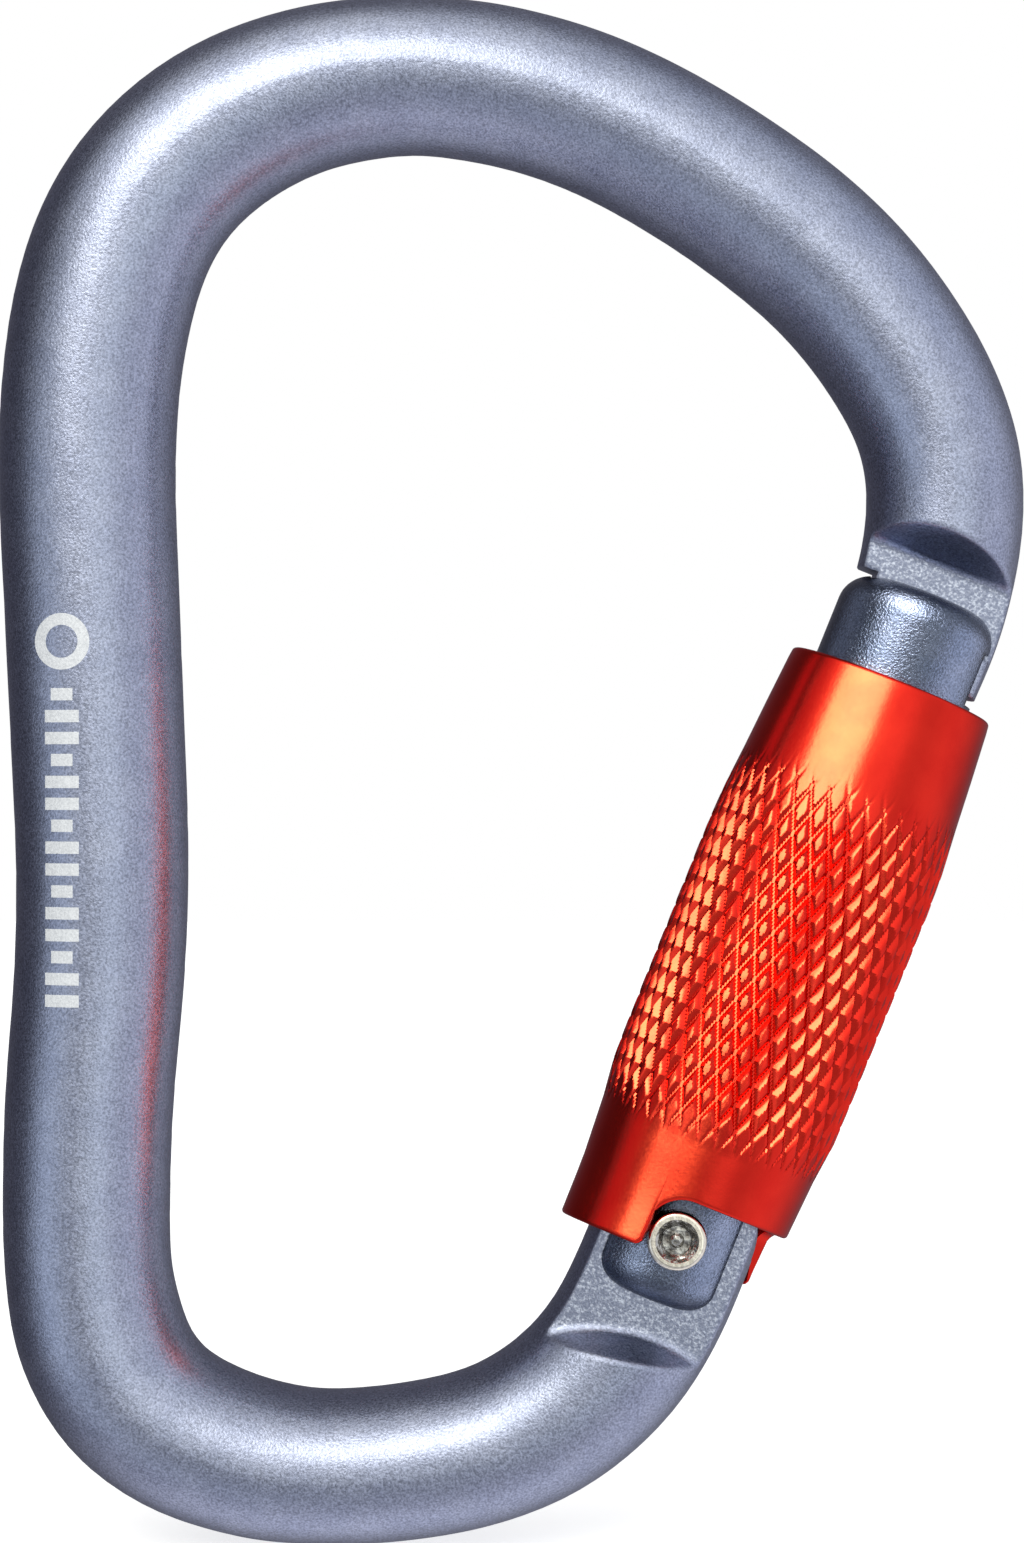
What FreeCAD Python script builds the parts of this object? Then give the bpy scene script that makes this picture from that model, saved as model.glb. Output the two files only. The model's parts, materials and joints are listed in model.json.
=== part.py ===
import FreeCAD, Part
import math
import os

# Pear-shaped locking carabiner, upright, seen from the front along +Y.
# +Z runs up the long axis and +X towards the gate side. The origin is the rope seat:
# the inner apex of the wide bow. Lengths are in millimetres and angles in degrees.

V = FreeCAD.Vector

# ---- bar -------------------------------------------------------------------------
BAR_HALF_DEPTH = 5.9      # half thickness of the bar, front to back
SEAT_HALF_WIDTH = 5.6     # half width of the bar, in the plane of the bow, at the rope seat
STATION_STEP = 4.0        # spacing of the sections that the bar is drawn through

# Bends as (radius of the centreline, turn, half width of the bar at the bend's end).
# A radius of 0 is a straight run, whose length takes the place of the turn.
# Both lists start at the rope seat. The nose side turns clockwise.
NOSE_SIDE = [
    (29.0, 7.5, 5.65),
    (38.0, 20.0, 5.7),
    (67.0, 11.5, 5.75),
    (35.0, 24.5, 5.6),
    (17.0, 31.5, 5.65),
    (30.0, 17.0, 5.65),
    (0, 5.0, 5.65),
]
# The spine side turns anticlockwise, down the spine, round the narrow bow, up to the hinge.
SPINE_SIDE = [
    (29.5, 12.5, 5.8),
    (23.0, 23.5, 6.15),
    (18.0, 31.0, 6.4),
    (24.5, 10.0, 6.45),
    (48.5, 10.0, 6.4),
    (81.0, 5.5, 6.35),
    (0, 20.5, 6.25),
    (119.0, -8.0, 6.1),
    (127.5, 7.0, 6.0),
    (23.0, 17.0, 6.1),
    (11.5, 44.5, 5.85),
    (23.5, 26.0, 5.5),
    (40.5, 15.0, 5.6),
    (19.0, 40.0, 5.9),
    (20.5, 10.0, 5.95),
    (60.0, 5.0, 5.95),
    (0, 8.0, 5.95),
]

# ---- gate axis -------------------------------------------------------------------
# The gate, sleeve, springs, tang and nose are drawn upright about the hinge pivot:
# z up the gate, x outwards, y to the back. place() then stands them in the body.
PIVOT = V(18.9, 0, -77.87)
GATE_TILT = 22.0

# ---- hinge tang, on the body -----------------------------------------------------
TANG_HALF = 2.9           # half thickness between the two milled flats
TANG_TOP_R = 6.0          # rounded top corners, about the pivot
CAM_R = 4.6               # cam arc that the plunger bears on
CAM_OFFSET = 2.2          # how far inwards of the pivot the cam arc is centred
HINGE_CUTTER_R = 13.2     # radius of the curved step where the flats end
HINGE_CUTTER_X = 1.7
HINGE_CUTTER_Z = -20.9
STEP_SLOPE = 0.52         # run of the sloped step per mm of its depth
STEP_FILLET = 0.8         # where a step meets its flat
TANG_FLAT_HALF = 8.5      # half width of the milled flats' cutter
TANG_FLAT_LOW_Z = -12.5
TANG_FLAT_HIGH_Z = 12.0
TANG_HOLE_R = 1.66

# ---- nose, on the body -----------------------------------------------------------
NOSE_HALF = 1.9           # half thickness of the neck
NOSE_HEAD_HALF = 2.6      # half thickness of the T-shaped head that the gate closes over
NOSE_STEP_Z = 51.7        # where the nose flats start
NOSE_HEAD_TOP_Z = 46.35
NOSE_TIP_Z = 43.55
NOSE_INNER_X = -4.1       # inner edge of the nose inside the gate
NOSE_NOTCH_Z = 49.5       # underside of the full-width part above the gate

# ---- gate ------------------------------------------------------------------------
GATE_HEAD_R = 5.9
GATE_SHANK_R = 5.25
GATE_TOP_Z = 49.3
GATE_TOP_ROUND = 2.3
GATE_HEAD_FOOT_Z = 37.6   # underside of the head, which stops the sleeve
GATE_FOOT_Z = -5.0
GATE_FOOT_ROUND = 2.0
EAR_SLOT_HALF = 3.05
EAR_SLOT_R = 6.3          # end of the slot for the tang, about the pivot
KEY_NECK_HALF = 2.25      # slot for the nose, at its neck
KEY_HEAD_HALF = 2.95      # slot for the nose, at its head
KEY_LIP_Z = 46.75
KEY_FLOOR_Z = 42.85
KEY_INNER_X = -4.45
BORE_R = 2.55
BORE_TOP_Z = 27.0
RIVET_R = 1.6

# ---- rivet -----------------------------------------------------------------------
RIVET_HEAD_R = 2.12
RIVET_FRONT_Y = -6.6
RIVET_DISH_R = 1.55
RIVET_DISH_DEPTH = 0.55
RIVET_BUMP_R = 0.7
RIVET_BUMP_SINK = 0.45    # how far the bump's centre lies below the bottom of the dish
RIVET_EDGE_ROUND = 0.35
RIVET_END_GAP = 0.1       # the closed end sits this far inside its countersink
RIVET_OVERLAP = 0.4       # how far the shank runs into the head
SINK_R = 2.4              # countersink for the rivet's closed end, at the back

# ---- plunger and gate spring -----------------------------------------------------
PLUNGER_R = 2.5
PLUNGER_HEAD_LEN = 5.5
PLUNGER_STEM_R = 1.2
PLUNGER_STEM_LEN = 6.0
PLUNGER_CHAMFER = 0.2
CONTACT_GAP = 0.03
GATE_SPRING_R = 1.95      # mean coil radius
GATE_SPRING_WIRE = 0.35
GATE_SPRING_TURNS = 10

# ---- sleeve ----------------------------------------------------------------------
# Outline of the sleeve as (height, radius).
SLEEVE_OUTLINE = [(-3.0, 7.88), (2.25, 7.9), (7.0, 8.2), (10.0, 8.55), (13.0, 8.6),
                  (28.0, 8.6), (31.0, 8.5), (34.5, 8.2), (38.0, 7.95), (42.4, 7.6)]
SLEEVE_NECK_R = 5.96      # runs on the gate's head
SLEEVE_STOP_R = 5.34      # ledge under the gate's head
SLEEVE_STOP_Z = 37.4
SLEEVE_STOP_H = 1.4
SLEEVE_BORE_R = 6.9
SLEEVE_MOUTH_TOP_Z = -0.2
SLEEVE_MOUTH_LOW_Z = -1.5
SLEEVE_MOUTH_R = 7.6
EDGE_SLOPE = 0.11         # the foot's edges rise this much per mm towards the front
FOOT_Z = -2.0             # height of the foot's low edge, at the sleeve's side
RAISED_Z = 2.25           # height of its raised edge, at the sleeve's side
LOBE_FRONT_X = -2.45      # the lobe ends this side of the rivet's head
LOBE_BACK_ANGLE = 114.0   # its other end, measured round the outer side from the front
NOTCH_R = 2.75            # clearance round the rivet's head

# ---- bush and sleeve spring ------------------------------------------------------
BUSH_LOW_Z = 7.8
BUSH_HIGH_Z = 12.8
BUSH_BORE_R = 5.32
SLEEVE_SPRING_R = 6.1
SLEEVE_SPRING_WIRE = 0.4
SLEEVE_SPRING_LOW_Z = 13.5
SLEEVE_SPRING_HIGH_Z = 35.2
SLEEVE_SPRING_TURNS = 9

REACH = 9.0               # from the gate axis, beyond the outside of the bar
EDGE_FIND = 0.01          # an edge this close to a named place is the one meant
FAR = 40.0                # longer than any feature it cuts


def place(shape):
    """Stands a shape drawn about the gate axis in its place in the body."""
    out = shape.copy()
    out.Placement = FreeCAD.Placement(PIVOT, FreeCAD.Rotation(V(0, 1, 0), GATE_TILT))
    return out


def tube(outer_r, inner_r, z0, z1):
    """Ring about the gate axis."""
    ring = Part.makeCylinder(outer_r, z1 - z0, V(0, 0, z0))
    return ring.cut(Part.makeCylinder(inner_r, z1 - z0 + 2, V(0, 0, z0 - 1)))


def cross_rod(radius, x, z, half_len=FAR):
    """Rod parallel to the hinge, through (x, z)."""
    return Part.makeCylinder(radius, 2 * half_len, V(x, -half_len, z), V(0, 1, 0))


def box(x0, x1, y0, y1, z0, z1):
    return Part.makeBox(x1 - x0, y1 - y0, z1 - z0, V(x0, y0, z0))


def prism_along_x(points, x0, x1):
    """Prism from an outline of (y, z) points, between two values of x."""
    corners = [V(x0, y, z) for y, z in points]
    outline = Part.makePolygon(corners + corners[:1])
    return Part.Face(outline).extrude(V(x1 - x0, 0, 0))


def coil(radius, wire_r, z0, z1, turns):
    """Helical spring with a round wire, its ends lying flat against their seats."""
    pitch = (z1 - z0) / turns
    spine = Part.makeHelix(pitch, z1 - z0, radius)
    spine.translate(V(0, 0, z0))
    rise = math.atan2(pitch, 2 * math.pi * radius)
    heading = V(0, math.cos(rise), math.sin(rise))
    section = Part.Wire(Part.Circle(V(radius, 0, z0), heading, wire_r).toShape())
    return Part.Wire(spine.Edges).makePipeShell([section], True, True)


# ---- body ------------------------------------------------------------------------
def bar_stations(start, heading, half_width, bends, turn_sign):
    """Follows a list of bends; returns closely spaced (point, heading, half width) stations."""
    point = start
    stations = []
    for radius, turn, end_width in bends:
        ahead = V(math.cos(math.radians(heading)), 0, math.sin(math.radians(heading)))
        left = V(-ahead.z, 0, ahead.x)
        signed = turn * turn_sign if radius else 0
        length = radius * math.radians(abs(turn)) if radius else turn
        steps = max(1, round(length / STATION_STEP))
        for i in range(1, steps + 1):
            share = i / steps
            if radius:
                centre = point + left * math.copysign(radius, signed)
                spin = FreeCAD.Rotation(V(0, -1, 0), signed * share)
                here = centre + spin.multVec(point - centre)
            else:
                here = point + ahead * (length * share)
            width = half_width + (end_width - half_width) * share
            stations.append((here, heading + signed * share, width))
        point, heading, half_width = stations[-1]
    return stations


def bar_section(station):
    """Elliptical section of the bar, square to its path, as four quarter curves."""
    point, heading, half_width = station
    across = V(-math.sin(math.radians(heading)), 0, math.cos(math.radians(heading))) * half_width
    depth = V(0, BAR_HALF_DEPTH, 0)
    quarters = []
    for a, b in ((across, depth), (depth, -across), (-across, -depth), (-depth, across)):
        curve = Part.BezierCurve()
        curve.setPoles([point + a, point + a + b, point + b])
        curve.setWeight(2, math.sqrt(0.5))
        quarters.append(curve.toShape())
    return Part.Wire(quarters)


def make_bar():
    """The whole bar, from the nose over the wide bow and round to the hinge."""
    seat = V(0, 0, SEAT_HALF_WIDTH)
    nose = bar_stations(seat, 0.0, SEAT_HALF_WIDTH, NOSE_SIDE, -1)
    spine = bar_stations(seat, 180.0, SEAT_HALF_WIDTH, SPINE_SIDE, 1)
    stations = [(point, heading + 180, width) for point, heading, width in nose[::-1]]
    stations += [(seat, 180.0, SEAT_HALF_WIDTH)] + spine
    return Part.makeLoft([bar_section(station) for station in stations], True, False)


def on_step_foot(edge):
    """True for the edge of a hinge cutter where its flat face meets its curved wall."""
    level = all(abs(vertex.Point.y - TANG_HALF) < EDGE_FIND for vertex in edge.Vertexes)
    return level and isinstance(edge.Curve, Part.Circle)


def make_body():
    bar = make_bar()
    # hinge tang: two flats that end in a curved, sloped step
    for side in (-1, 1):
        flat = box(-TANG_FLAT_HALF, TANG_FLAT_HALF, TANG_HALF, REACH,
                   TANG_FLAT_LOW_Z, TANG_FLAT_HIGH_Z)
        step_depth = REACH - TANG_HALF
        cone = Part.makeCone(HINGE_CUTTER_R, HINGE_CUTTER_R - STEP_SLOPE * step_depth, step_depth,
                             V(HINGE_CUTTER_X, TANG_HALF, HINGE_CUTTER_Z), V(0, 1, 0))
        flat = flat.cut(cone)
        step_foot = [e for e in flat.Edges if on_step_foot(e)]
        flat = flat.makeFillet(STEP_FILLET, step_foot)
        if side < 0:
            flat = flat.mirror(V(0, 0, 0), V(0, 1, 0))
        bar = bar.cut(place(flat))
    # top of the tang: round about the pivot, with the cam for the plunger
    cam_block = box(-CAM_OFFSET, REACH, -REACH, REACH, -1, CAM_R)
    cam_side = cross_rod(CAM_R, -CAM_OFFSET, 0).fuse(cam_block)
    kept = cross_rod(TANG_TOP_R, 0, 0).common(cam_side)
    end_block = box(-REACH, REACH, -REACH, REACH, 0, TANG_FLAT_HIGH_Z + 2)
    bar = bar.cut(place(end_block.cut(kept)))
    bar = bar.cut(place(cross_rod(TANG_HOLE_R, 0, 0)))
    # nose: neck and T-shaped head
    slope_run = STEP_SLOPE * (REACH - NOSE_HALF)
    below = SLEEVE_STOP_Z
    outline = [(NOSE_HALF, NOSE_STEP_Z), (REACH, NOSE_STEP_Z + slope_run), (REACH, below),
               (NOSE_HEAD_HALF, below), (NOSE_HEAD_HALF, NOSE_HEAD_TOP_Z),
               (NOSE_HALF, NOSE_HEAD_TOP_Z)]
    side_cut = prism_along_x(outline, -REACH, REACH)
    middle = V(0, NOSE_HALF, NOSE_STEP_Z)
    step_foot = [e for e in side_cut.Edges if e.CenterOfMass.distanceToPoint(middle) < EDGE_FIND]
    side_cut = side_cut.makeFillet(STEP_FILLET, step_foot)
    bar = bar.cut(place(side_cut))
    bar = bar.cut(place(side_cut.mirror(V(0, 0, 0), V(0, 1, 0))))
    bar = bar.cut(place(box(-REACH, NOSE_INNER_X, -REACH, REACH, below, NOSE_NOTCH_Z)))
    return bar.cut(place(box(-REACH, REACH, -REACH, REACH, below, NOSE_TIP_Z)))


# ---- gate ------------------------------------------------------------------------
def make_gate():
    head = Part.makeCylinder(GATE_HEAD_R, GATE_TOP_Z - GATE_HEAD_FOOT_Z, V(0, 0, GATE_HEAD_FOOT_Z))
    top_edges = [e for e in head.Edges if abs(e.CenterOfMass.z - GATE_TOP_Z) < EDGE_FIND]
    head = head.makeFillet(GATE_TOP_ROUND, top_edges)
    shank = Part.makeCylinder(GATE_SHANK_R, GATE_HEAD_FOOT_Z - GATE_FOOT_Z, V(0, 0, GATE_FOOT_Z))
    foot_edges = [e for e in shank.Edges if abs(e.CenterOfMass.z - GATE_FOOT_Z) < EDGE_FIND]
    shank = shank.makeFillet(GATE_FOOT_ROUND, foot_edges)
    gate = head.fuse(shank)
    # ears for the hinge tang
    ear_slot = box(-REACH, REACH, -EAR_SLOT_HALF, EAR_SLOT_HALF, -REACH, 0)
    ear_slot = ear_slot.fuse(cross_rod(EAR_SLOT_R, 0, 0, EAR_SLOT_HALF))
    gate = gate.cut(ear_slot)
    # keyed slot for the nose, open outwards and at the top
    neck_slot = box(KEY_INNER_X, REACH, -KEY_NECK_HALF, KEY_NECK_HALF, KEY_FLOOR_Z, GATE_TOP_Z + 1)
    head_slot = box(KEY_INNER_X, REACH, -KEY_HEAD_HALF, KEY_HEAD_HALF, KEY_FLOOR_Z, KEY_LIP_Z)
    gate = gate.cut(neck_slot.fuse(head_slot))
    # bore for the plunger and its spring
    gate = gate.cut(Part.makeCylinder(BORE_R, BORE_TOP_Z, V(0, 0, 0)))
    # rivet hole, countersunk at the back
    gate = gate.cut(cross_rod(RIVET_R, 0, 0))
    sink_depth = SINK_R - RIVET_R
    sink = Part.makeCone(RIVET_R, SINK_R, sink_depth, V(0, GATE_SHANK_R - sink_depth, 0), V(0, 1, 0))
    return gate.cut(sink)


def make_rivet():
    ear_face_y = -math.sqrt(GATE_SHANK_R ** 2 - RIVET_HEAD_R ** 2)
    head = Part.makeCylinder(RIVET_HEAD_R, ear_face_y - RIVET_FRONT_Y,
                             V(0, RIVET_FRONT_Y, 0), V(0, 1, 0))
    rim = [e for e in head.Edges if abs(e.CenterOfMass.y - RIVET_FRONT_Y) < EDGE_FIND]
    head = head.makeFillet(RIVET_EDGE_ROUND, rim)
    dish = Part.makeCone(RIVET_DISH_R, RIVET_DISH_R - RIVET_DISH_DEPTH, RIVET_DISH_DEPTH,
                         V(0, RIVET_FRONT_Y, 0), V(0, 1, 0))
    head = head.cut(dish)
    bump_y = RIVET_FRONT_Y + RIVET_DISH_DEPTH + RIVET_BUMP_SINK
    bump = Part.makeSphere(RIVET_BUMP_R, V(0, bump_y, 0))
    head = head.fuse(bump)
    # the underside of the head sits on the round face of the ear
    head = head.cut(Part.makeCylinder(GATE_SHANK_R, 2 * REACH, V(0, 0, -REACH)))
    front_y = -GATE_SHANK_R - RIVET_OVERLAP
    back_y = GATE_SHANK_R - RIVET_END_GAP
    shank = Part.makeCylinder(RIVET_R, back_y - front_y, V(0, front_y, 0), V(0, 1, 0))
    sink_depth = SINK_R - RIVET_R
    closed_end = Part.makeCone(RIVET_R, SINK_R - RIVET_END_GAP, sink_depth - RIVET_END_GAP,
                               V(0, GATE_SHANK_R - sink_depth, 0), V(0, 1, 0))
    return head.fuse(shank).fuse(closed_end).removeSplitter()


def make_plunger():
    tip_z = CAM_R + CONTACT_GAP
    head = Part.makeCylinder(PLUNGER_R, PLUNGER_HEAD_LEN, V(0, 0, tip_z))
    tip = [e for e in head.Edges if abs(e.CenterOfMass.z - tip_z) < EDGE_FIND]
    head = head.makeChamfer(PLUNGER_CHAMFER, tip)
    stem = Part.makeCylinder(PLUNGER_STEM_R, PLUNGER_STEM_LEN, V(0, 0, tip_z + PLUNGER_HEAD_LEN))
    return head.fuse(stem)


def make_gate_spring():
    low = CAM_R + CONTACT_GAP + PLUNGER_HEAD_LEN + GATE_SPRING_WIRE + CONTACT_GAP
    high = BORE_TOP_Z - GATE_SPRING_WIRE - CONTACT_GAP
    return coil(GATE_SPRING_R, GATE_SPRING_WIRE, low, high, GATE_SPRING_TURNS)


# ---- sleeve ----------------------------------------------------------------------
def sleeve_blank():
    """The sleeve's solid outline turned about the gate axis."""
    low_z = SLEEVE_OUTLINE[0][0]
    high_z = SLEEVE_OUTLINE[-1][0]
    corners = [V(0, 0, low_z)] + [V(r, 0, z) for z, r in SLEEVE_OUTLINE]
    corners += [V(0, 0, high_z), V(0, 0, low_z)]
    return Part.Face(Part.makePolygon(corners)).revolve(V(0, 0, 0), V(0, 0, 1), 360)


def below_edge(height):
    """Everything below one of the foot's sloping edges."""
    slope = [(-FAR, height + EDGE_SLOPE * FAR), (FAR, height - EDGE_SLOPE * FAR),
             (FAR, -FAR), (-FAR, -FAR)]
    return prism_along_x(slope, -FAR, FAR)


def raised_sector():
    """What is cut away below the raised edge: from the rivet round the outer side to the back."""
    wedge = Part.makeCylinder(FAR, 2 * REACH, V(0, 0, -REACH), V(0, 0, 1), LOBE_BACK_ANGLE + 90)
    wedge.rotate(V(0, 0, 0), V(0, 0, 1), -180)
    front_left = box(-FAR, LOBE_FRONT_X, -FAR, 0, -FAR, FAR)
    return wedge.cut(front_left).common(below_edge(RAISED_Z))


def make_sleeve():
    sleeve = sleeve_blank()
    neck_low = SLEEVE_STOP_Z - SLEEVE_STOP_H
    sleeve = sleeve.cut(Part.makeCylinder(SLEEVE_NECK_R, REACH, V(0, 0, SLEEVE_STOP_Z)))
    sleeve = sleeve.cut(Part.makeCylinder(SLEEVE_STOP_R, REACH, V(0, 0, neck_low - 1)))
    sleeve = sleeve.cut(Part.makeCylinder(SLEEVE_BORE_R, neck_low + REACH, V(0, 0, -REACH)))
    # the mouth widens to clear the hinge when the gate swings
    sleeve = sleeve.cut(Part.makeCone(SLEEVE_MOUTH_R, SLEEVE_BORE_R,
                                      SLEEVE_MOUTH_TOP_Z - SLEEVE_MOUTH_LOW_Z,
                                      V(0, 0, SLEEVE_MOUTH_LOW_Z)))
    sleeve = sleeve.cut(Part.makeCylinder(SLEEVE_MOUTH_R, REACH, V(0, 0, SLEEVE_MOUTH_LOW_Z - REACH)))
    sleeve = sleeve.cut(below_edge(FOOT_Z)).cut(raised_sector())
    notch = Part.makeCylinder(NOTCH_R, FAR, V(0, 0, 0), V(0, -1, 0))
    return sleeve.cut(notch)


def make_bush():
    return tube(SLEEVE_BORE_R, BUSH_BORE_R, BUSH_LOW_Z, BUSH_HIGH_Z)


def make_sleeve_spring():
    return coil(SLEEVE_SPRING_R, SLEEVE_SPRING_WIRE, SLEEVE_SPRING_LOW_Z, SLEEVE_SPRING_HIGH_Z,
                SLEEVE_SPRING_TURNS)


PIECES = {
    "body": make_body(),
    "gate": place(make_gate()),
    "hinge_rivet": place(make_rivet()),
    "gate_plunger": place(make_plunger()),
    "gate_spring": place(make_gate_spring()),
    "sleeve": place(make_sleeve()),
    "sleeve_bush": place(make_bush()),
    "sleeve_spring": place(make_sleeve_spring()),
}

os.makedirs("parts", exist_ok=True)
for name, shape in PIECES.items():
    solid = shape.Solids[0] if len(shape.Solids) == 1 else shape
    solid.exportStep("parts/" + name + ".step")
    size = solid.BoundBox
    print(name, len(shape.Solids), "solid(s)", "valid" if solid.isValid() else "INVALID",
          round(size.XLength, 2), round(size.YLength, 2), round(size.ZLength, 2))
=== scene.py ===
import json
import math

import bpy
from mathutils import Matrix, Vector


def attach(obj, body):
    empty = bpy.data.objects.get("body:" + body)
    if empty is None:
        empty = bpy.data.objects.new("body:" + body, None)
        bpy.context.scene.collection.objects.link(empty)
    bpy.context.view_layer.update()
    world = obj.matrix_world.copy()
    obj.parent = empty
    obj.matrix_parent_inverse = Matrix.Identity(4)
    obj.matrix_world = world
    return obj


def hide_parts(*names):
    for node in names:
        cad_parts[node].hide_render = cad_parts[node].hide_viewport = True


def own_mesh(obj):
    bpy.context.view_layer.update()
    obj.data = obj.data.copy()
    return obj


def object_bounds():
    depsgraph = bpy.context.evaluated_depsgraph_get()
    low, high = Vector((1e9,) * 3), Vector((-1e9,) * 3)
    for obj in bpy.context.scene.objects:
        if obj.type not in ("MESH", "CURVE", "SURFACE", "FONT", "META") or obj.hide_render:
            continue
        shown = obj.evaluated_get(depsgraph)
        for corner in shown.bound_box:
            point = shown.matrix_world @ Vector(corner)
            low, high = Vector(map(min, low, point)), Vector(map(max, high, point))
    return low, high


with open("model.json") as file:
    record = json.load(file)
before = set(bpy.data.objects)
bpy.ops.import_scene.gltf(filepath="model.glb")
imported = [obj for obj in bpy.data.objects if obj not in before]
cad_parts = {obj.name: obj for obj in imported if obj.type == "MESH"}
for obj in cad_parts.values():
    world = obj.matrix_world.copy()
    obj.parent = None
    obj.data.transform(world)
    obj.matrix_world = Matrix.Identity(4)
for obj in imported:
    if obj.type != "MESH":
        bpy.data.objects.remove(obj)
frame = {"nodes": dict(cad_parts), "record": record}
cad_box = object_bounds()

MM = 0.001
TILT = math.radians(22.0)        # how far the gate leans outwards

# the gate's own frame: its origin is the hinge pivot, z runs up the gate and x outwards
joints = {joint["name"]: joint for joint in frame["record"]["behaviour"]["joints"]}
pivot = Vector(joints["gate_swing"]["pos_m"])
gate_frame = Matrix.Translation(pivot) @ Matrix.Rotation(TILT, 4, "Y")
gate_turn = gate_frame.to_3x3()
gate_axis = gate_turn @ Vector((0, 0, 1))


# ---- node helpers ------------------------------------------------------------------
class Shader:
    """Small wrapper that adds nodes to one material."""

    def __init__(self, name):
        self.material = bpy.data.materials.new(name)
        self.material.use_nodes = True
        self.tree = self.material.node_tree
        self.tree.nodes.clear()
        self.out = self.tree.nodes.new("ShaderNodeOutputMaterial")
        self.bsdf = self.tree.nodes.new("ShaderNodeBsdfPrincipled")
        self.link(self.bsdf.outputs[0], self.out.inputs[0])
        self.coord = self.tree.nodes.new("ShaderNodeTexCoord").outputs["Object"]

    def link(self, a, b):
        self.tree.links.new(a, b)

    def put(self, value, socket):
        if isinstance(value, bpy.types.NodeSocket):
            self.link(value, socket)
        else:
            socket.default_value = value

    def math(self, op, a, b=0.0):
        node = self.tree.nodes.new("ShaderNodeMath")
        node.operation = op
        self.put(a, node.inputs[0])
        self.put(b, node.inputs[1])
        return node.outputs[0]

    def noise(self, scale, detail=2.0, rough=0.5):
        node = self.tree.nodes.new("ShaderNodeTexNoise")
        node.inputs["Scale"].default_value = scale
        node.inputs["Detail"].default_value = detail
        node.inputs["Roughness"].default_value = rough
        self.link(self.coord, node.inputs["Vector"])
        return node.outputs["Fac"]

    def ramp(self, fac, stops):
        node = self.tree.nodes.new("ShaderNodeValToRGB")
        ramp = node.color_ramp
        while len(ramp.elements) < len(stops):
            ramp.elements.new(0.5)
        for element, (place, colour) in zip(ramp.elements, stops):
            element.position = place
            element.color = (*colour, 1.0)
        self.link(fac, node.inputs[0])
        return node.outputs[0]

    def remap(self, value, low, high, new_low, new_high):
        node = self.tree.nodes.new("ShaderNodeMapRange")
        self.link(value, node.inputs[0])
        for socket, number in zip(node.inputs[1:5], (low, high, new_low, new_high)):
            socket.default_value = number
        return node.outputs[0]

    def mix(self, fac, a, b):
        node = self.tree.nodes.new("ShaderNodeMix")
        node.data_type = "RGBA"
        self.put(fac, node.inputs[0])
        self.put(a, node.inputs[6])
        self.put(b, node.inputs[7])
        return node.outputs[2]

    def scaled(self, colour, factor):
        node = self.tree.nodes.new("ShaderNodeVectorMath")
        node.operation = "SCALE"
        self.link(colour, node.inputs[0])
        self.put(factor, node.inputs["Scale"])
        return node.outputs[0]

    def local(self, matrix):
        """Object coordinates carried into another frame: (x, y, z) sockets."""
        inverse = matrix.inverted()
        result = []
        split = self.tree.nodes.new("ShaderNodeSeparateXYZ")
        self.link(self.coord, split.inputs[0])
        for row in range(3):
            total = inverse[row][3]
            for column in range(3):
                part = self.math("MULTIPLY", split.outputs[column], inverse[row][column])
                total = self.math("ADD", part, total)
            result.append(total)
        return result

    def bump(self, height, distance, strength=1.0, normal=None):
        node = self.tree.nodes.new("ShaderNodeBump")
        node.inputs["Strength"].default_value = strength
        node.inputs["Distance"].default_value = distance
        self.link(height, node.inputs["Height"])
        if normal is not None:
            self.link(normal, node.inputs["Normal"])
        return node.outputs[0]

    def soft_edges(self, radius):
        node = self.tree.nodes.new("ShaderNodeBevel")
        node.samples = 6
        node.inputs["Radius"].default_value = radius
        return node.outputs[0]

    def turned(self, amount):
        """Fine lathe marks round the gate axis, which draw highlights out along it."""
        node = self.tree.nodes.new("ShaderNodeVectorTransform")
        node.vector_type = "VECTOR"
        node.convert_from = "OBJECT"
        node.convert_to = "WORLD"
        node.inputs[0].default_value = gate_axis
        self.link(node.outputs[0], self.bsdf.inputs["Tangent"])
        self.bsdf.inputs["Anisotropic"].default_value = amount

    def set(self, **values):
        for key, value in values.items():
            self.put(value, self.bsdf.inputs[key.replace("_", " ")])
        return self.material


def grey(value):
    return (value, value, value)


# ---- materials ---------------------------------------------------------------------
# the etched mark on the spine, in metres
MARK_X = -0.02455
RING_Z = -0.0356
RING_R = 0.0020
RING_OPEN = 0.34                 # share of the ring's area that is its hole
BARS_TOP_Z = -0.0389
BAR_PITCH = 0.00155
BAR_FILL = 0.56                  # share of the pitch that a bar takes
BAR_COUNT = 15
BAR_HALF_LENGTH = 0.00125
SHORT_BAR_CUT = 0.00045          # what a short bar lacks at each end

# where the milled flats lie, in the gate's frame, in metres
NOSE_FLAT_DEPTH = 0.00228
NOSE_FROM_Z = 0.030
TANG_FLAT_DEPTH = 0.00298
TANG_TO_Z = 0.010
FLATS_FROM_X = -0.012
FLATS_FROM_Z = -0.0135
FLAT_FACING = 0.97               # how squarely a face must look forwards or back

GRAIN_SCALE = 6200               # blasted grain under the anodising
GRAIN_SPAN = (0.32, 0.68)        # the range that the grain's noise really fills
SPECKLE = (0.66, 1.34)           # how much the grain darkens and lightens the colour
RIVET_DISH_R = 0.00153


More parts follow.
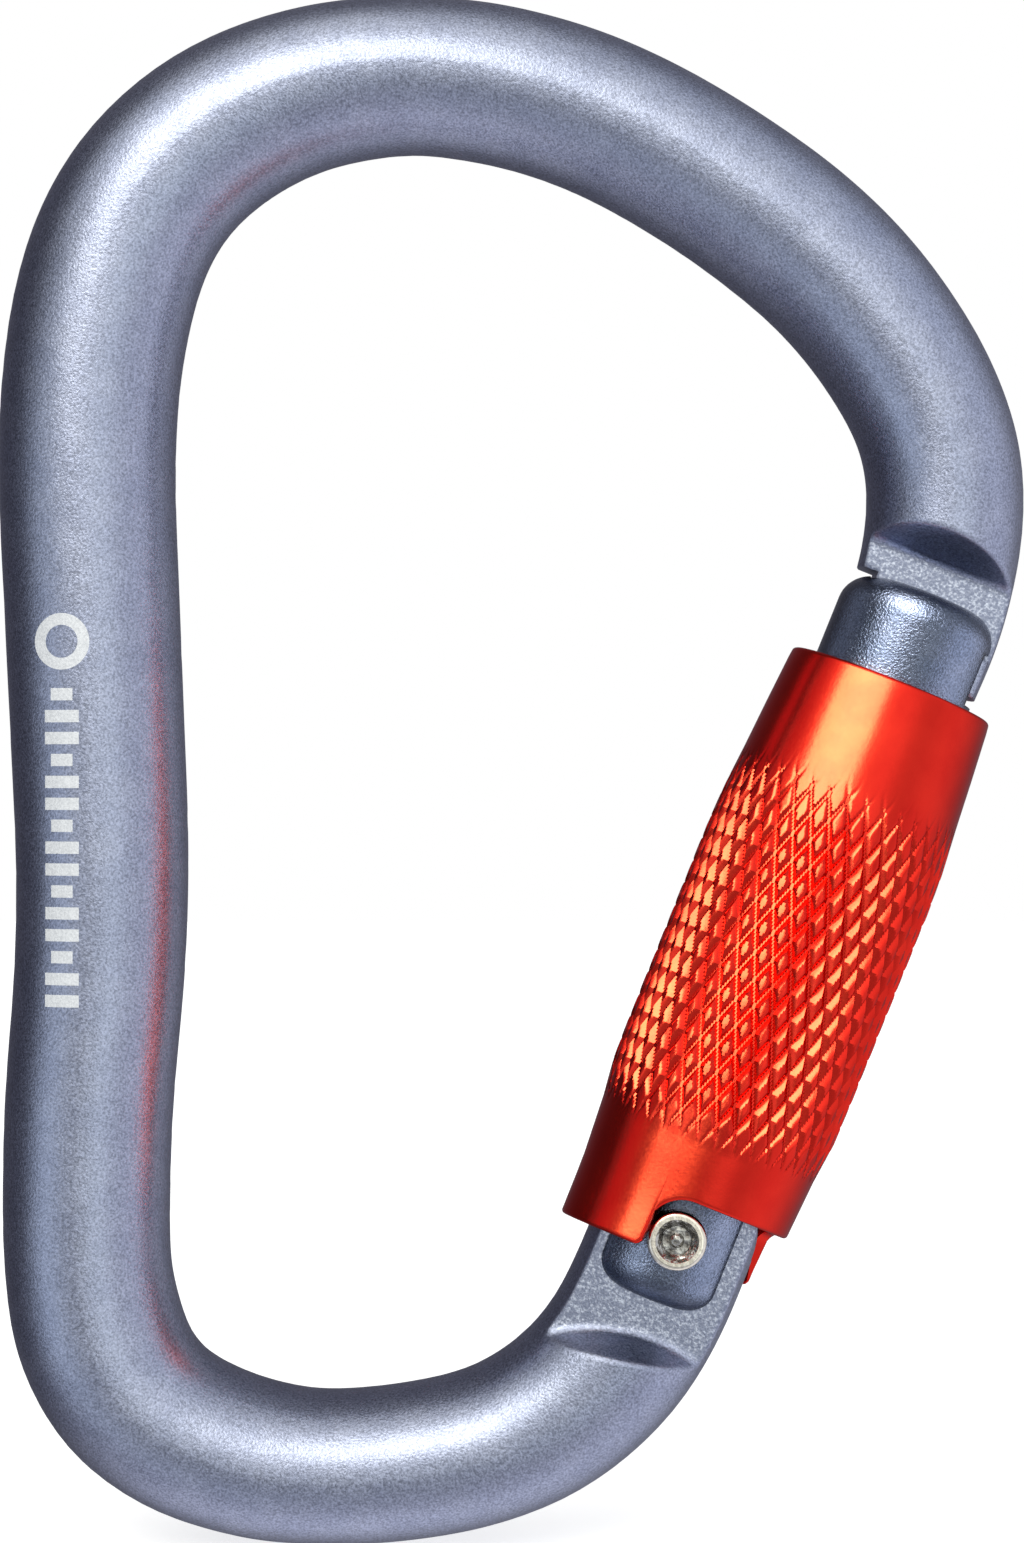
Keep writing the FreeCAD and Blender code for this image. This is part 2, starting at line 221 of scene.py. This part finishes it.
def etched_mark(s):
    """Pale etched ring and a row of plain bars on the front of the spine."""
    split = s.tree.nodes.new("ShaderNodeSeparateXYZ")
    s.link(s.coord, split.inputs[0])
    x, y, z = split.outputs
    front = s.math("LESS_THAN", y, 0.0)
    across = s.math("DIVIDE", s.math("SUBTRACT", x, MARK_X), RING_R)
    along = s.math("DIVIDE", s.math("SUBTRACT", z, RING_Z), RING_R)
    square = s.math("ADD", s.math("MULTIPLY", across, across), s.math("MULTIPLY", along, along))
    ring = s.math("MULTIPLY", s.math("LESS_THAN", square, 1.0),
                  s.math("GREATER_THAN", square, RING_OPEN))
    row = s.math("MULTIPLY", s.math("SUBTRACT", BARS_TOP_Z, z), 1.0 / BAR_PITCH)
    inside = s.math("MULTIPLY", s.math("GREATER_THAN", row, 0.0),
                    s.math("LESS_THAN", row, float(BAR_COUNT)))
    solid = s.math("LESS_THAN", s.math("FRACT", row), BAR_FILL)
    # every third bar is shorter, so the row reads as a plain scale
    thirds = s.math("FRACT", s.math("MULTIPLY", s.math("FLOOR", row), 1 / 3))
    short = s.math("LESS_THAN", thirds, 0.2)
    reach = s.math("SUBTRACT", BAR_HALF_LENGTH, s.math("MULTIPLY", short, SHORT_BAR_CUT))
    wide = s.math("LESS_THAN", s.math("ABSOLUTE", s.math("SUBTRACT", x, MARK_X)), reach)
    bars = s.math("MULTIPLY", s.math("MULTIPLY", inside, solid), wide)
    return s.math("MULTIPLY", s.math("MAXIMUM", ring, bars), front)


def milled_mask(s):
    """1 on the milled flats of the nose and the hinge tang."""
    x, y, z = s.local(gate_frame)
    depth = s.math("ABSOLUTE", y)
    nose = s.math("MULTIPLY", s.math("LESS_THAN", depth, NOSE_FLAT_DEPTH),
                  s.math("GREATER_THAN", z, NOSE_FROM_Z))
    tang = s.math("MULTIPLY", s.math("LESS_THAN", depth, TANG_FLAT_DEPTH),
                  s.math("LESS_THAN", z, TANG_TO_Z))
    near = s.math("MULTIPLY", s.math("GREATER_THAN", x, FLATS_FROM_X),
                  s.math("GREATER_THAN", z, FLATS_FROM_Z))
    geometry = s.tree.nodes.new("ShaderNodeNewGeometry")
    split = s.tree.nodes.new("ShaderNodeSeparateXYZ")
    s.link(geometry.outputs["True Normal"], split.inputs[0])
    flat = s.math("GREATER_THAN", s.math("ABSOLUTE", split.outputs[1]), FLAT_FACING)
    return s.math("MULTIPLY", s.math("MULTIPLY", s.math("MAXIMUM", nose, tang), near), flat)


def body_finish():
    s = Shader("body_anodised")
    grain = s.noise(GRAIN_SCALE, 2.0, 0.6)
    swell = s.noise(420, 2.0, 0.5)
    tone = s.ramp(swell, [(0.35, (0.265, 0.287, 0.388)), (0.65, (0.298, 0.320, 0.422))])
    colour = s.scaled(tone, s.remap(grain, *GRAIN_SPAN, *SPECKLE))
    flats = milled_mask(s)
    sparkle = s.ramp(s.noise(4600, 2.0, 0.6),
                     [(0.38, (0.20, 0.22, 0.30)), (0.52, (0.27, 0.29, 0.38)),
                      (0.66, (0.48, 0.51, 0.61))])
    etched = etched_mark(s)
    pale = s.ramp(grain, [(0.35, (0.52, 0.53, 0.56)), (0.65, (0.66, 0.67, 0.70))])
    base = s.mix(etched, s.mix(flats, colour, sparkle), pale)
    metal = s.remap(etched, 0.0, 1.0, 1.0, 0.2)
    rough = s.math("ADD", s.remap(grain, 0.3, 0.7, 0.28, 0.36),
                   s.math("MULTIPLY", etched, 0.25))
    height = s.math("MULTIPLY", grain, s.remap(flats, 0.0, 1.0, 0.85, 1.2))
    return s.set(Base_Color=base, Metallic=metal, Roughness=rough,
                 Normal=s.bump(height, 0.000035, 0.8, s.soft_edges(0.0006)))


def gate_finish():
    s = Shader("gate_anodised")
    grain = s.noise(GRAIN_SCALE, 2.0, 0.6)
    tone = s.ramp(s.noise(500, 2.0, 0.5),
                  [(0.35, (0.084, 0.099, 0.142)), (0.65, (0.100, 0.114, 0.158))])
    colour = s.scaled(tone, s.remap(grain, *GRAIN_SPAN, *SPECKLE))
    s.turned(0.6)
    return s.set(Base_Color=colour, Metallic=1.0,
                 Roughness=s.remap(grain, *GRAIN_SPAN, 0.24, 0.13),
                 Normal=s.bump(grain, 0.00006, 0.9, s.soft_edges(0.0005)))


def sleeve_finish():
    s = Shader("sleeve_anodised")
    grain = s.noise(4200, 2.0, 0.6)
    colour = s.ramp(s.noise(350, 3.0, 0.55),
                    [(0.35, (0.56, 0.018, 0.012)), (0.65, (0.62, 0.023, 0.014))])
    s.turned(0.45)
    return s.set(Base_Color=colour, Metallic=1.0,
                 Roughness=s.remap(grain, 0.3, 0.7, 0.21, 0.27),
                 Specular_Tint=(1.0, 0.68, 0.68, 1.0), Normal=s.bump(grain, 0.00002, 0.3))


def rivet_finish():
    s = Shader("rivet_steel")
    fine = s.noise(2600, 3.0, 0.6)
    x, y, z = s.local(gate_frame)
    radius = s.math("SQRT", s.math("ADD", s.math("MULTIPLY", x, x), s.math("MULTIPLY", z, z)))
    # painted shade: the base colour is made dark inside the recessed dish of the rivet head; its
    # dents also drive the bump
    shaded_dish = s.math("LESS_THAN", radius, RIVET_DISH_R)
    dents = s.noise(1500, 2.0, 0.5)
    bright = s.ramp(fine, [(0.3, (0.56, 0.51, 0.43)), (0.7, (0.78, 0.73, 0.65))])
    dish_shade_colour = s.ramp(dents, [(0.35, (0.12, 0.11, 0.10)), (0.6, (0.42, 0.41, 0.39))])
    height = s.math("ADD", s.math("MULTIPLY", fine, 0.1), s.math("MULTIPLY", dents, shaded_dish))
    return s.set(Base_Color=s.mix(shaded_dish, bright, dish_shade_colour), Metallic=1.0,
                 Roughness=s.remap(fine, 0.3, 0.7, 0.12, 0.22),
                 Normal=s.bump(height, 0.0003, 0.8))


def spring_finish():
    s = Shader("spring_steel")
    fine = s.noise(3800, 3.0, 0.6)
    colour = s.ramp(fine, [(0.3, grey(0.40)), (0.7, grey(0.52))])
    return s.set(Base_Color=colour, Metallic=1.0,
                 Roughness=s.remap(fine, 0.3, 0.7, 0.28, 0.38),
                 Normal=s.bump(fine, 0.00002, 0.4))


def brass_finish():
    s = Shader("plunger_brass")
    fine = s.noise(3500, 3.0, 0.6)
    colour = s.ramp(fine, [(0.3, (0.62, 0.42, 0.16)), (0.7, (0.78, 0.56, 0.24))])
    return s.set(Base_Color=colour, Metallic=1.0,
                 Roughness=s.remap(fine, 0.3, 0.7, 0.25, 0.4),
                 Normal=s.bump(fine, 0.00002, 0.4))


def plastic_finish():
    s = Shader("bush_plastic")
    fine = s.noise(2600, 3.0, 0.6)
    colour = s.ramp(fine, [(0.3, grey(0.014)), (0.7, grey(0.024))])
    return s.set(Base_Color=colour, Roughness=s.remap(fine, 0.3, 0.7, 0.5, 0.65),
                 Normal=s.bump(fine, 0.00004, 0.4))


finishes = {
    "body_anodised": body_finish(),
    "gate_anodised": gate_finish(),
    "sleeve_anodised": sleeve_finish(),
    "rivet_steel": rivet_finish(),
    "spring_steel": spring_finish(),
    "plunger_brass": brass_finish(),
    "bush_plastic": plastic_finish(),
}
for entry in frame["record"]["subparts"]:
    node = frame["nodes"][entry["node"]]
    node.data.materials.clear()
    node.data.materials.append(finishes[entry["material_slot"]])


# ---- knurled sleeve, in mm in the gate's frame --------------------------------------
STARTS = 38                      # grooves of each hand round the sleeve
GROOVE_RISE = 3.49               # height over which a groove moves on by one pitch
GROOVE_FLOOR_R = 8.2
CELLS = 14                       # mesh cells per pitch
AROUND = STARTS * CELLS
KNURL_LOW = 7.2
KNURL_HIGH = 34.4
GRIP_R = 8.6                     # the widest part, over the knurl's crests
# the outer skin without its grooves: height and radius
OUTLINE = [(-3.0, 7.88), (2.25, 7.9), (7.0, 8.2), (10.0, 8.55), (13.0, GRIP_R),
           (28.0, GRIP_R), (31.0, 8.5), (34.5, 8.2), (38.0, 7.95), (42.4, 7.6)]
RIM_ROUND = 0.28

FOOT_R = 7.9
LOW_EDGE_Z = -2.0                # the foot's edge at the sleeve's side, on the skirt
RAISED_EDGE_Z = 2.25             # and where it is cut away
EDGE_SLOPE = 0.11                # the foot's edges rise this much per mm towards the front
CUT_FRONT = -2.49                # where the cut starts, in mm round the foot from the front
CUT_BACK = math.radians(114) * FOOT_R
SKIRT_CORNER = 0.6
BACK_FILLET = 1.4
NOTCH_HALF_WIDTH = 2.78
EDGE_STEP = 0.08                 # the longest piece of the polyline along the foot's edge

# heights of the skin's rings over the foot's edge, closer where the rim is rounded
RING_LIFTS = [0.0, 0.03, 0.07, 0.12, 0.18, 0.26, 0.36, 0.6, 1.0, 1.5, 2.1, 2.8]
RING_SHARES = (0.3, 0.6, 0.85)   # and on the way from there up to the knurl
RING_STEP = 0.6                  # and above the knurl
RIM_TURN = math.radians(18)
RIM_RINGS = 6

HEAD_BORE_R = 5.96
HEAD_CHAMFER = 0.15
COLLAR_R = 5.34                  # the collar that runs on the gate, under the head bore
COLLAR_TOP = 37.4
COLLAR_FOOT = 36.0
BORE_R = 6.9                     # room for the sleeve's spring
BORE_FOOT = 5.0
MOUTH_R = 7.6                    # the cone in the foot that clears the bar
CONE_TOP = -0.2
CONE_HEIGHT = 1.3
MOUTH_SHARES = (0.5, 0.95, 1.0)
SHARP_ANGLE = math.radians(24)


def outline_radius(z):
    for (z0, r0), (z1, r1) in zip(OUTLINE, OUTLINE[1:]):
        if z <= z1:
            return r0 + (r1 - r0) * max(0.0, z - z0) / (z1 - z0)
    return OUTLINE[-1][1]


def knurl_radius(share, z):
    """Radius of the knurled skin. share counts pitches round the sleeve."""
    radius = outline_radius(z)
    pitch = 2 * math.pi * GRIP_R / STARTS
    slant = math.cos(math.atan2(pitch, GROOVE_RISE))
    for hand in (1, -1):
        phase = share + hand * z / GROOVE_RISE
        off = abs(phase - round(phase)) * pitch * slant
        radius = min(radius, GROOVE_FLOOR_R + off)
    return radius


def sloped(z, u):
    """Height of an edge that passes through z at the sleeve's side, u mm round from the front."""
    return z + EDGE_SLOPE * FOOT_R * math.cos(u / FOOT_R)


def low_z(u):
    return sloped(LOW_EDGE_Z, u)


def raised_z(u):
    return sloped(RAISED_EDGE_Z, u)


def foot_z(u):
    """Height of the foot's edge, u mm round the sleeve from its front."""
    if u < CUT_FRONT - SKIRT_CORNER or u > CUT_BACK + SKIRT_CORNER:
        return low_z(u)
    if u < CUT_FRONT:
        off = u - CUT_FRONT + SKIRT_CORNER
        return low_z(u) + SKIRT_CORNER - math.sqrt(SKIRT_CORNER ** 2 - off ** 2)
    if u < 0:
        return raised_z(0) * math.sqrt(1 - (u / NOTCH_HALF_WIDTH) ** 2)
    if u < CUT_BACK - BACK_FILLET:
        return raised_z(u)
    if u < CUT_BACK:
        off = u - CUT_BACK + BACK_FILLET
        return raised_z(u) - BACK_FILLET + math.sqrt(BACK_FILLET ** 2 - off ** 2)
    off = CUT_BACK + SKIRT_CORNER - u
    return low_z(u) + SKIRT_CORNER - math.sqrt(max(0.0, SKIRT_CORNER ** 2 - off ** 2))


def make_sleeve():
    dz = GROOVE_RISE / CELLS
    first = math.floor(KNURL_LOW / dz)
    last = math.ceil(KNURL_HIGH / dz)
    verts = []
    # columns run from the back round by the inner side, the front and the outer side
    turns = [2 * math.pi * (i / AROUND - 0.5) for i in range(AROUND)]
    edge = [foot_z(turn * FOOT_R) for turn in turns]

    # the edge as a polyline, to round the skin by its distance from it
    path = []
    for i in range(AROUND):
        u0, u1 = turns[i] * FOOT_R, (turns[i] + 2 * math.pi / AROUND) * FOOT_R
        z0, z1 = edge[i], edge[(i + 1) % AROUND]
        steps = max(1, math.ceil(abs(z1 - z0) / EDGE_STEP))
        path += [(u0 + (u1 - u0) * k / steps, z0 + (z1 - z0) * k / steps)
                 for k in range(steps)]

    def rounding(i, z):
        """How far the skin is drawn in near the foot's edge."""
        u = turns[i] * FOOT_R
        near = min((math.hypot(u - pu, z - pz) for pu, pz in path
                    if abs(u - pu) < RIM_ROUND), default=RIM_ROUND)
        if near >= RIM_ROUND:
            return 0.0
        return RIM_ROUND - math.sqrt(RIM_ROUND ** 2 - (RIM_ROUND - near) ** 2)

    def ring(radii, heights):
        start = len(verts)
        for turn, r, z in zip(turns, radii, heights):
            verts.append((r * math.sin(turn), -r * math.cos(turn), z))
        return start

    def level(z, radius):
        return ring([radius] * AROUND, [z] * AROUND)

    rings = []
    knurl_start = first * dz
    for lift in RING_LIFTS:
        heights = [z + lift for z in edge]
        rings.append(ring([outline_radius(z) - rounding(i, z) for i, z in enumerate(heights)],
                          heights))
    top_lift = RING_LIFTS[-1]
    for share in RING_SHARES:
        heights = [z + top_lift + (knurl_start - z - top_lift) * share for z in edge]
        rings.append(ring([outline_radius(z) for z in heights], heights))
    for k in range(first, last + 1):
        z = k * dz
        rings.append(ring([knurl_radius(i / CELLS, z) for i in range(AROUND)], [z] * AROUND))
    top = OUTLINE[-1][0]
    z = last * dz + RING_STEP
    while z < top - RIM_ROUND:
        rings.append(level(z, outline_radius(z)))
        z += RING_STEP
    for k in range(RIM_RINGS):
        turn = RIM_TURN * k
        rings.append(level(top - RIM_ROUND + RIM_ROUND * math.sin(turn),
                           outline_radius(top) - RIM_ROUND + RIM_ROUND * math.cos(turn)))
    # down the inside: head bore, collar, room for the spring, and the coned mouth
    for z, r in ((top, HEAD_BORE_R + HEAD_CHAMFER), (top - HEAD_CHAMFER, HEAD_BORE_R),
                 (COLLAR_TOP, HEAD_BORE_R), (COLLAR_TOP, COLLAR_R), (COLLAR_FOOT, COLLAR_R),
                 (COLLAR_FOOT, BORE_R), (BORE_FOOT, BORE_R)):
        rings.append(level(z, r))
    for share in MOUTH_SHARES:
        heights = [BORE_FOOT + (z - BORE_FOOT) * share for z in edge]
        opened = [min(1.0, max(0.0, (CONE_TOP - z) / CONE_HEIGHT)) for z in heights]
        rings.append(ring([BORE_R + (MOUTH_R - BORE_R) * part for part in opened], heights))
    faces = []
    for a, b in zip(rings, rings[1:] + rings[:1]):
        for i in range(AROUND):
            j = (i + 1) % AROUND
            faces.append((a + i, a + j, b + j, b + i))
    mesh = bpy.data.meshes.new("sleeve_knurled")
    mesh.from_pydata([Vector(v) * MM for v in verts], [], faces)
    mesh.transform(gate_frame)
    mesh.update()
    piece = bpy.data.objects.new("sleeve_knurled", mesh)
    bpy.context.collection.objects.link(piece)
    return piece


sleeve = make_sleeve()
sleeve.data.materials.append(finishes["sleeve_anodised"])
for polygon in sleeve.data.polygons:
    polygon.use_smooth = True
sleeve.data.set_sharp_from_angle(angle=SHARP_ANGLE)
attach(sleeve, "lock_sleeve")
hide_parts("sleeve")

# ---- gate spring: a copy of the coil with its own mesh, carried by the gate arm ------
coil_node = frame["nodes"]["gate_spring"]
coil = bpy.data.objects.new("gate_spring_coil", coil_node.data.copy())
coil.matrix_world = coil_node.matrix_world
bpy.context.collection.objects.link(coil)
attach(coil, "gate_arm")
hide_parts("gate_spring")
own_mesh(coil)

# ---- floor, light and camera -------------------------------------------------------
FLOOR_HALF = 0.9
FLOOR_GAP = 0.0005               # keeps the floor's face clear of the bar's lowest point

floor_z = cad_box[0][2] - FLOOR_GAP
floor_corners = [(x * FLOOR_HALF, y * FLOOR_HALF, floor_z)
                 for x, y in ((-1, -1), (1, -1), (1, 1), (-1, 1))]
floor_mesh = bpy.data.meshes.new("floor")
floor_mesh.from_pydata(floor_corners, [], [(0, 1, 2, 3)])
floor = bpy.data.objects.new("floor", floor_mesh)
bpy.context.collection.objects.link(floor)


def floor_finish():
    """Pale paper that the camera sees lit from within, so that only a soft shadow shows."""
    s = Shader("floor_paper")
    tone = s.ramp(s.noise(60, 3.0), [(0.3, grey(0.60)), (0.7, grey(0.64))])
    s.set(Base_Color=tone, Roughness=0.9, Emission_Color=(1, 1, 1, 1), Emission_Strength=0.72)
    clear = s.tree.nodes.new("ShaderNodeBsdfTransparent")
    blend = s.tree.nodes.new("ShaderNodeMixShader")
    seen = s.tree.nodes.new("ShaderNodeLightPath").outputs["Is Camera Ray"]
    s.link(seen, blend.inputs[0])
    s.link(clear.outputs[0], blend.inputs[1])
    s.link(s.bsdf.outputs[0], blend.inputs[2])
    s.link(blend.outputs[0], s.out.inputs[0])
    return s.material


floor_mesh.materials.append(floor_finish())


def toward(azimuth, elevation):
    """Direction from the object. Azimuth 0 is the front and 90 the outer side."""
    az, el = math.radians(azimuth), math.radians(elevation)
    return Vector((math.cos(el) * math.sin(az), -math.cos(el) * math.cos(az), math.sin(el)))


# soft sources of the studio: azimuth, elevation, sharpness, colour times strength
AMBIENT = (0.072, 0.068, 0.088)
SOFT_SOURCES = [
    (-4, 28, 7, (1.80, 1.82, 1.66)),
    (-20, 72, 14, (1.30, 1.30, 1.18)),
    (76, -56, 3, (0.70, 0.72, 0.76)),
    (82, -12, 4.0, (0.68, 0.68, 0.72)),
    (-50, -12, 18, (1.06, 1.20, 1.30)),
    (-52, 40, 26, (1.15, 1.19, 1.14)),
    (70, 40, 6, (0.70, 0.76, 0.80)),
    (20, -10, 35, (1.06, 1.18, 1.12)),
    (30, 14, 10, (0.42, 0.43, 0.41)),
    (180, 45, 3, (0.10, 0.10, 0.11)),
    (-90, -80, 8, (0.80, 0.80, 0.84)),
    (-20, -40, 35, (0.44, 0.48, 0.50)),
    (-60, -45, 8, (0.11, 0.12, 0.14)),
]


def studio():
    world = bpy.data.worlds.new("studio")
    world.use_nodes = True
    tree = world.node_tree
    tree.nodes.clear()
    link = tree.links.new
    direction = tree.nodes.new("ShaderNodeTexCoord").outputs["Generated"]
    total = None
    for azimuth, elevation, sharpness, colour in SOFT_SOURCES:
        dot = tree.nodes.new("ShaderNodeVectorMath")
        dot.operation = "DOT_PRODUCT"
        link(direction, dot.inputs[0])
        dot.inputs[1].default_value = toward(azimuth, elevation)
        spread = tree.nodes.new("ShaderNodeMath")
        spread.operation = "MULTIPLY_ADD"
        link(dot.outputs["Value"], spread.inputs[0])
        spread.inputs[1].default_value = sharpness
        spread.inputs[2].default_value = -sharpness
        lobe = tree.nodes.new("ShaderNodeMath")
        lobe.operation = "EXPONENT"
        link(spread.outputs[0], lobe.inputs[0])
        tint = tree.nodes.new("ShaderNodeVectorMath")
        tint.operation = "MULTIPLY_ADD"
        link(lobe.outputs[0], tint.inputs[0])
        tint.inputs[1].default_value = colour
        if total is None:
            tint.inputs[2].default_value = AMBIENT
        else:
            link(total, tint.inputs[2])
        total = tint.outputs[0]
    lit = tree.nodes.new("ShaderNodeBackground")
    link(total, lit.inputs[0])
    plain = tree.nodes.new("ShaderNodeBackground")
    plain.inputs[0].default_value = (1.0, 1.0, 1.0, 1.0)
    blend = tree.nodes.new("ShaderNodeMixShader")
    link(tree.nodes.new("ShaderNodeLightPath").outputs["Is Camera Ray"], blend.inputs[0])
    link(lit.outputs[0], blend.inputs[1])
    link(plain.outputs[0], blend.inputs[2])
    out = tree.nodes.new("ShaderNodeOutputWorld")
    link(blend.outputs[0], out.inputs[0])
    return world


bpy.context.scene.world = studio()
bpy.context.scene.view_settings.view_transform = "Standard"


def panel(name, direction, target, distance, size, power, colour, only=()):
    """Soft box that shines on the object and isn't seen itself. only names what it lights."""
    data = bpy.data.lights.new(name, "AREA")
    data.shape = "RECTANGLE"
    data.size, data.size_y = size
    data.energy = power
    data.color = colour
    lamp = bpy.data.objects.new(name, data)
    side = gate_turn @ Vector((1, 0, 0)) if only else Vector((1, 0, 0))
    ahead = direction.normalized()
    up = ahead.cross(side).normalized()
    across = up.cross(ahead)
    turn = Matrix((across, up, ahead)).transposed().to_4x4()
    lamp.matrix_world = Matrix.Translation(target + ahead * distance) @ turn
    lamp.visible_camera = False
    bpy.context.collection.objects.link(lamp)
    if only:
        lit = bpy.data.collections.new(name + "_lit")
        for piece in only:
            lit.objects.link(piece)
        lamp.light_linking.receiver_collection = lit


KEY_DISTANCE = 0.5
BOX_DISTANCE = 0.4
STRIP_TURN = math.radians(-33)   # round the gate, from the front towards the inner side
SLEEVE_MID_Z = 0.021             # heights up the gate
GATE_HEAD_Z = 0.045

centre = Vector((0.00728, 0.0, -0.0448))         # the middle of the view, in the object
panel("key", toward(-18, 32), centre, KEY_DISTANCE, (0.28, 0.25), 0.85, (1.0, 0.99, 0.88))

# a large box in front of the gate picks out the sleeve and its knurling
sleeve_centre = gate_frame @ Vector((0, 0, SLEEVE_MID_Z))
beside = gate_turn @ Vector((math.sin(STRIP_TURN), -math.cos(STRIP_TURN), 0.24))
panel("sleeve_strip", beside, sleeve_centre, BOX_DISTANCE, (0.38, 0.3), 10.0,
      (0.30, 1.0, 0.57), [sleeve])
inner_side = gate_turn @ Vector((-1.0, -0.1, 0.1))
panel("sleeve_side", inner_side, sleeve_centre, BOX_DISTANCE, (0.36, 0.36), 0.25,
      (1.0, 0.3, 0.5), [sleeve])

# boxes that draw the bands on the gate's polished rod: turn round the gate, rise, size,
# power and colour
gate = frame["nodes"]["gate"]
gate_head = gate_frame @ Vector((0, 0, GATE_HEAD_Z))
for name, turn_deg, rise, size, power, colour in (
        ("gate_key", -30, 0.85, (0.30, 0.30), 4.2, (1.0, 1.0, 0.97)),
        ("gate_band", -38, -0.1, (0.18, 0.35), 0.55, (0.92, 0.98, 1.0)),
        ("gate_outer", 80, 0.0, (0.48, 0.5), 1.2, (0.88, 0.92, 1.0)),
        ("gate_inner", -100, 0.0, (0.20, 0.5), 0.35, (0.86, 0.92, 1.0))):
    turn = math.radians(turn_deg)
    ahead = gate_turn @ Vector((math.sin(turn), -math.cos(turn), rise))
    panel(name, ahead, gate_head, BOX_DISTANCE, size, power, colour, [gate])

CAMERA_DISTANCE = 0.215
FRAME_HEIGHT = 0.11197           # what the view takes in at the object's mid-plane

camera_data = bpy.data.cameras.new("camera")
camera = bpy.data.objects.new("camera", camera_data)
camera.location = centre + Vector((0, -CAMERA_DISTANCE, 0))
camera.rotation_euler = (math.radians(90), 0, 0)
camera_data.lens = camera_data.sensor_width * CAMERA_DISTANCE / FRAME_HEIGHT
camera_data.clip_start = 0.01
bpy.context.collection.objects.link(camera)
bpy.context.scene.camera = camera
